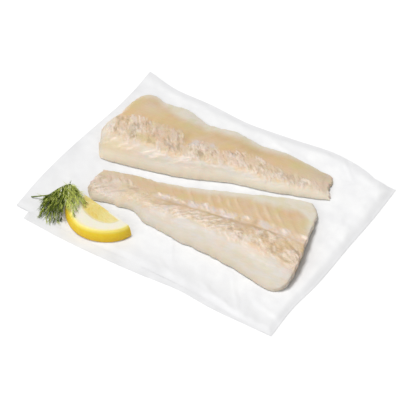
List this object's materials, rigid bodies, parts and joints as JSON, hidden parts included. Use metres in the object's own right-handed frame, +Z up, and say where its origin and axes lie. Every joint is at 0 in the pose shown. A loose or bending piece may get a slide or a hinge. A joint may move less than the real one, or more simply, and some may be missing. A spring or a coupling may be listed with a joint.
{
  "type": "cod fillets with lemon and dill",
  "caption": "Skinless fish fillets lying head to tail on a folded sheet of paper, with a lemon wedge and a sprig of dill, for serving on a table.",
  "frame": {"origin": "middle of the sheet's bounding box, at table level", "axes": "+X along the long side of the sheet towards its fold, +Y away from the lemon, +Z up"},
  "size_m": [0.2821, 0.224, 0.0251],
  "materials": {
    "paper": "smooth matt greaseproof paper",
    "flesh": "moist flaky fish, slightly translucent",
    "lemon": "wet citrus flesh, white pith and waxy zest",
    "dill": "fresh green leaf threads"
  },
  "bodies": {
    "root": {"paper_sheet": "paper", "fillet_back": "flesh", "fillet_front": "flesh", "lemon_wedge": "lemon", "dill_sprig": "dill"}
  },
  "joints": []
}
